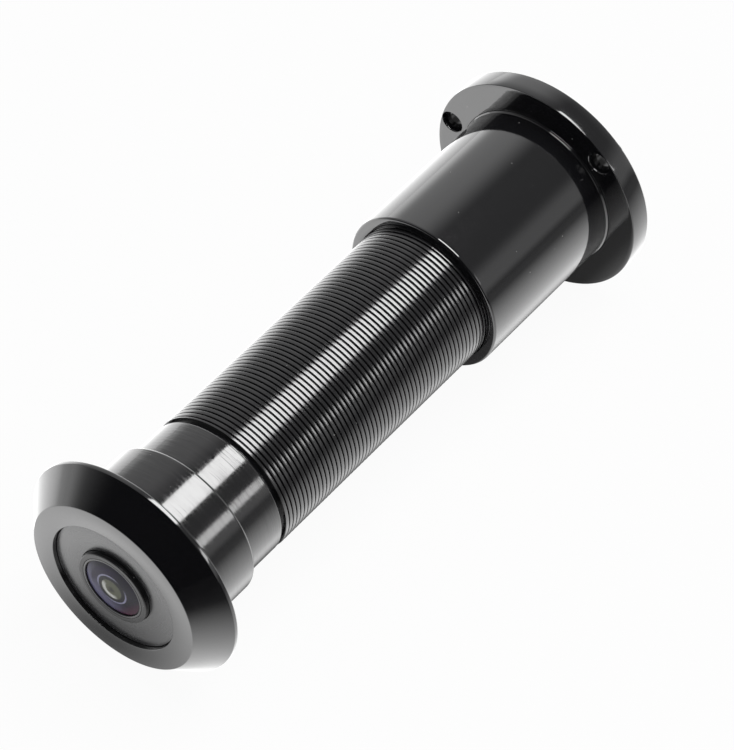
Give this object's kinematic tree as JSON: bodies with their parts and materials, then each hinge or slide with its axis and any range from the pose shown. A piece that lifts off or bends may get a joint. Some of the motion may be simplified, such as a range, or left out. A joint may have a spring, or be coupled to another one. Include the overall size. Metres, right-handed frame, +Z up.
{
  "type": "peephole door camera",
  "caption": "Door viewer camera: coated lens in a bevelled round cap on a threaded tube, with a sleeve nut and rear flange that clamp it through a door.",
  "frame": {"origin": "on the axis, in the plane of the front cap's back face, which seats on the outside of the door", "axes": "+Y along the axis from the lens towards the room side, +Z up, +X to the right of a viewer who looks along +Y"},
  "size_m": [0.0218, 0.061, 0.0218],
  "materials": {
    "black_anodised": "gloss black anodised",
    "satin_disc": "satin dark grey anodised",
    "lens_metal": "black anodised",
    "lock_ring_metal": "satin light grey",
    "stop_metal": "matt black",
    "coated_glass": "purple-coated polished",
    "clear_glass": "polished",
    "filter_glass": "pink coated",
    "holder_plastic": "matt",
    "board": "green solder mask",
    "chip_plastic": "matt",
    "sensor_ceramic": "ceramic",
    "socket_plastic": "ivory",
    "capacitor": "ceramic",
    "can_metal": "satin",
    "screw_steel": "bright",
    "brass_posts": "bright",
    "gold_pins": "gold plated",
    "seal_rubber": "matt",
    "spring_steel": "phosphated"
  },
  "bodies": {
    "camera": {"front_cap": "black_anodised", "face_disc": "satin_disc", "lens_seal": "seal_rubber", "lens_barrel": "lens_metal", "lens_lock_ring": "lock_ring_metal", "front_lens": "coated_glass", "second_lens": "clear_glass", "front_spacer": "lens_metal", "aperture_stop": "stop_metal", "third_lens": "clear_glass", "rear_spacer": "lens_metal", "rear_lens": "clear_glass", "rear_lock_ring": "lens_metal", "focus_ring": "lens_metal", "lens_holder": "holder_plastic", "infrared_filter": "filter_glass", "sensor_glass": "clear_glass", "image_sensor": "sensor_ceramic", "sensor_board": "board", "board_spacers": "brass_posts", "board_connector": "chip_plastic", "processor_chip": "chip_plastic", "processor_board": "board", "board_screws": "screw_steel", "crystal": "can_metal", "filter_capacitors": "capacitor", "cable_socket": "socket_plastic", "socket_pins": "gold_pins", "tube_gasket": "seal_rubber", "threaded_tube": "black_anodised", "plug_gasket": "seal_rubber", "back_plug": "black_anodised", "cable_grommet": "seal_rubber"},
    "flange": {"rear_flange": "black_anodised"},
    "nut": {"sleeve_nut": "black_anodised", "snap_ring": "spring_steel"}
  },
  "joints": [
    {"name": "flange_slide", "type": "slide", "parent": "camera", "child": "flange", "axis": [0, 1, 0], "range_m": [-0.02701, 0.00601]},
    {"name": "nut_turn", "type": "hinge", "parent": "flange", "child": "nut", "pos_m": [0, 0.0555, 0], "axis": [0, 1, 0], "range_deg": [-19440, 4320]}
  ],
  "couplings": [
    {"joint": "flange_slide", "follows": "nut_turn", "m_per_rad": 0.000079577}
  ]
}
